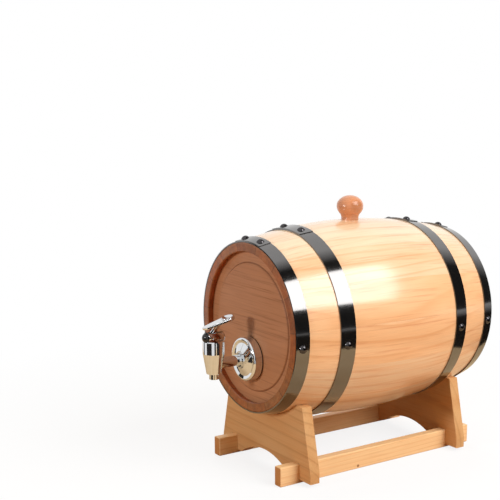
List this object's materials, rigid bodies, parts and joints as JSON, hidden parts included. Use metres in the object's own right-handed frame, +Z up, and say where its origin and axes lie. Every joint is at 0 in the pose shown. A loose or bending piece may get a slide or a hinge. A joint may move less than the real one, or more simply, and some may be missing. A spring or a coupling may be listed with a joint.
{
  "type": "cask drink dispenser",
  "caption": "Small wooden cask on its side with steel hoops, a lever tap in the stained front head, a knob bung on top and a two-board cradle on rails.",
  "frame": {"origin": "centre of the bounding box on the plane the rails stand on", "axes": "+Z up; the cask's axis lies along Y and the tap faces -Y; +X is to the right seen from the tap's side"},
  "size_m": [0.21, 0.3184, 0.2857],
  "materials": {
    "stave_wood": "clear gloss lacquer",
    "head_wood": "brown stain under lacquer",
    "hoop_metal": "gloss black enamel",
    "rivet_metal": "gloss black enamel",
    "bung_wood": "clear gloss lacquer",
    "tap_chrome": "polished plate",
    "stem_steel": "drawn stainless",
    "tap_rubber": "matte black",
    "plug_plastic": "moulded black",
    "cradle_wood": "clear satin lacquer",
    "screw_steel": "zinc plate"
  },
  "bodies": {
    "cradle": {"front_board": "cradle_wood", "rear_board": "cradle_wood", "left_rail": "cradle_wood", "right_rail": "cradle_wood", "cradle_screws": "screw_steel"},
    "cask": {"bung_stave": "stave_wood", "stave_01": "stave_wood", "stave_02": "stave_wood", "stave_03": "stave_wood", "stave_04": "stave_wood", "stave_05": "stave_wood", "stave_06": "stave_wood", "stave_07": "stave_wood", "stave_08": "stave_wood", "stave_09": "stave_wood", "stave_10": "stave_wood", "stave_11": "stave_wood", "stave_12": "stave_wood", "stave_13": "stave_wood", "stave_14": "stave_wood", "front_head": "head_wood", "rear_head": "head_wood", "front_end_hoop": "hoop_metal", "front_quarter_hoop": "hoop_metal", "rear_quarter_hoop": "hoop_metal", "rear_end_hoop": "hoop_metal", "front_end_rivets": "rivet_metal", "front_quarter_rivets": "rivet_metal", "rear_quarter_rivets": "rivet_metal", "rear_end_rivets": "rivet_metal", "tap_body": "tap_chrome", "nozzle": "tap_chrome", "rosette": "tap_chrome", "outer_gasket": "tap_rubber", "inner_washer": "tap_rubber", "back_nut": "tap_chrome", "bonnet": "tap_chrome", "knuckle_plug": "plug_plastic", "pivot_pin": "tap_chrome", "return_spring": "stem_steel"},
    "bung": {"bung": "bung_wood"},
    "lever": {"lever": "tap_chrome", "link_pin": "tap_chrome"},
    "stem": {"valve_stem": "stem_steel", "valve_seal": "tap_rubber"}
  },
  "joints": [
    {"name": "cask_lift", "type": "slide", "parent": "cradle", "child": "cask", "axis": [0, 0, 1], "range_m": [0, 0.12]},
    {"name": "bung_pull", "type": "slide", "parent": "cask", "child": "bung", "axis": [0, 0, 1], "range_m": [0, 0.04]},
    {"name": "lever_pivot", "type": "hinge", "parent": "cask", "child": "lever", "pos_m": [0, -0.15062, 0.1497], "axis": [1, 0, 0], "range_deg": [0, 45], "stiffness_Nm_per_rad": 0.03, "springref_deg": -28.65},
    {"name": "stem_lift", "type": "slide", "parent": "cask", "child": "stem", "axis": [0, 0, 1], "range_m": [0, 0.0032], "deforming": ["return_spring"]}
  ],
  "couplings": [
    {"joint": "stem_lift", "follows": "lever_pivot", "m_per_rad": 0.0040744}
  ]
}
